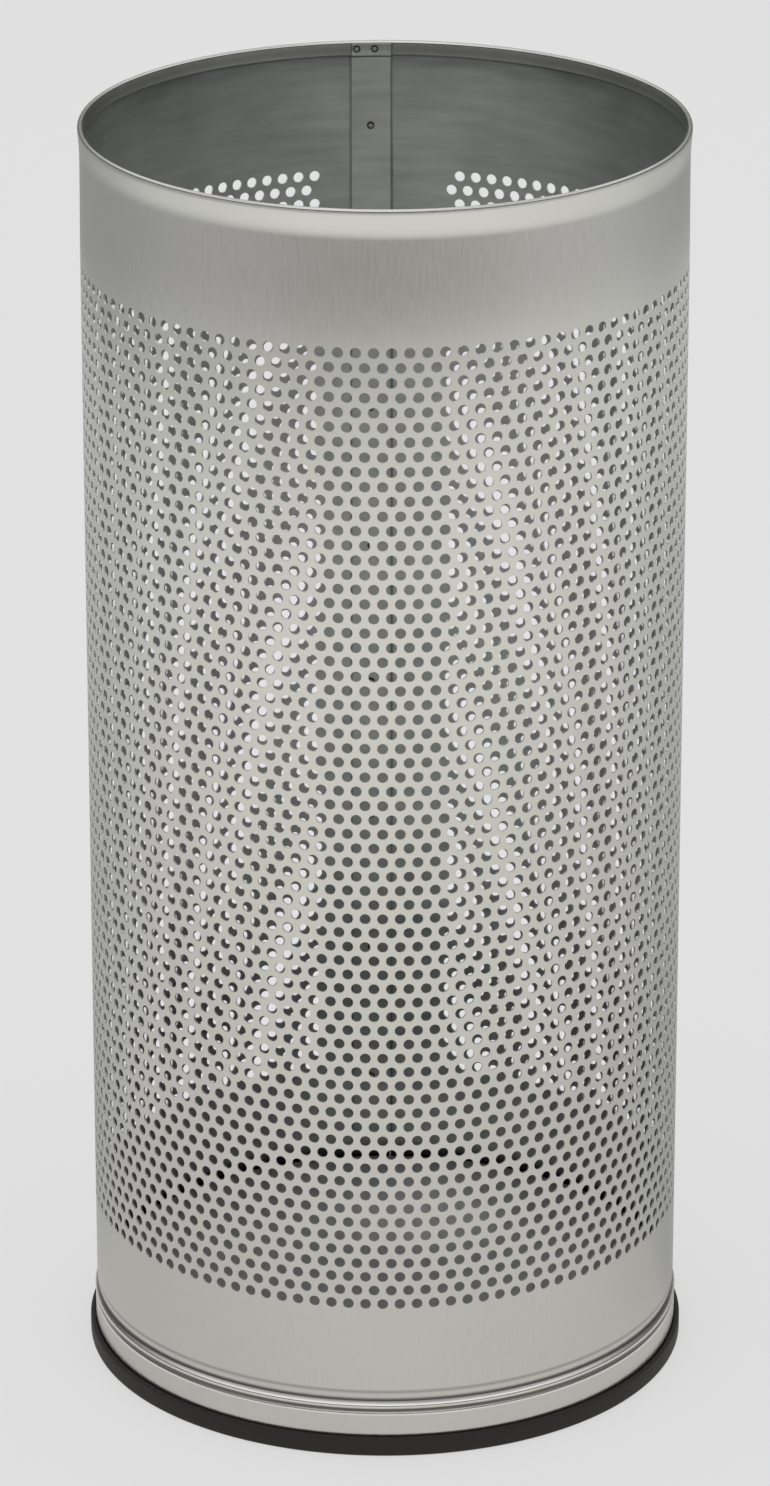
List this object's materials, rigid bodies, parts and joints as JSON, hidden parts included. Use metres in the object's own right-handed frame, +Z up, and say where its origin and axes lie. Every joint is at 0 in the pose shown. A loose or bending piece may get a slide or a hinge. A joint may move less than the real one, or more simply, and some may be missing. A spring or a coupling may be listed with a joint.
{
  "type": "litter bin",
  "caption": "Round upright litter bin rolled from perforated sheet steel, with a hemmed rim, a riveted lap seam at the back, a pan floor and a rubber foot ring.",
  "frame": {"origin": "middle of the footprint, on the floor", "axes": "+Z up along the bin's axis, -Y the front, +Y the side with the lap seam, +X to the right seen from the front"},
  "size_m": [0.2868, 0.2868, 0.608],
  "materials": {
    "shell_steel": "vertically brushed stainless steel sheet",
    "pan_steel": "dull rolled stainless steel sheet",
    "ring_rubber": "satin black extruded rubber",
    "rivet_steel": "darkened steel"
  },
  "bodies": {
    "root": {"perforated_shell": "shell_steel", "base_pan": "pan_steel", "base_ring": "ring_rubber", "seam_rivet_1": "rivet_steel", "seam_rivet_2": "rivet_steel", "seam_rivet_3": "rivet_steel", "seam_rivet_4": "rivet_steel", "seam_rivet_5": "rivet_steel", "seam_rivet_6": "rivet_steel", "seam_rivet_7": "rivet_steel", "seam_rivet_8": "rivet_steel", "hem_rivet_1": "rivet_steel", "hem_rivet_2": "rivet_steel"}
  },
  "joints": []
}
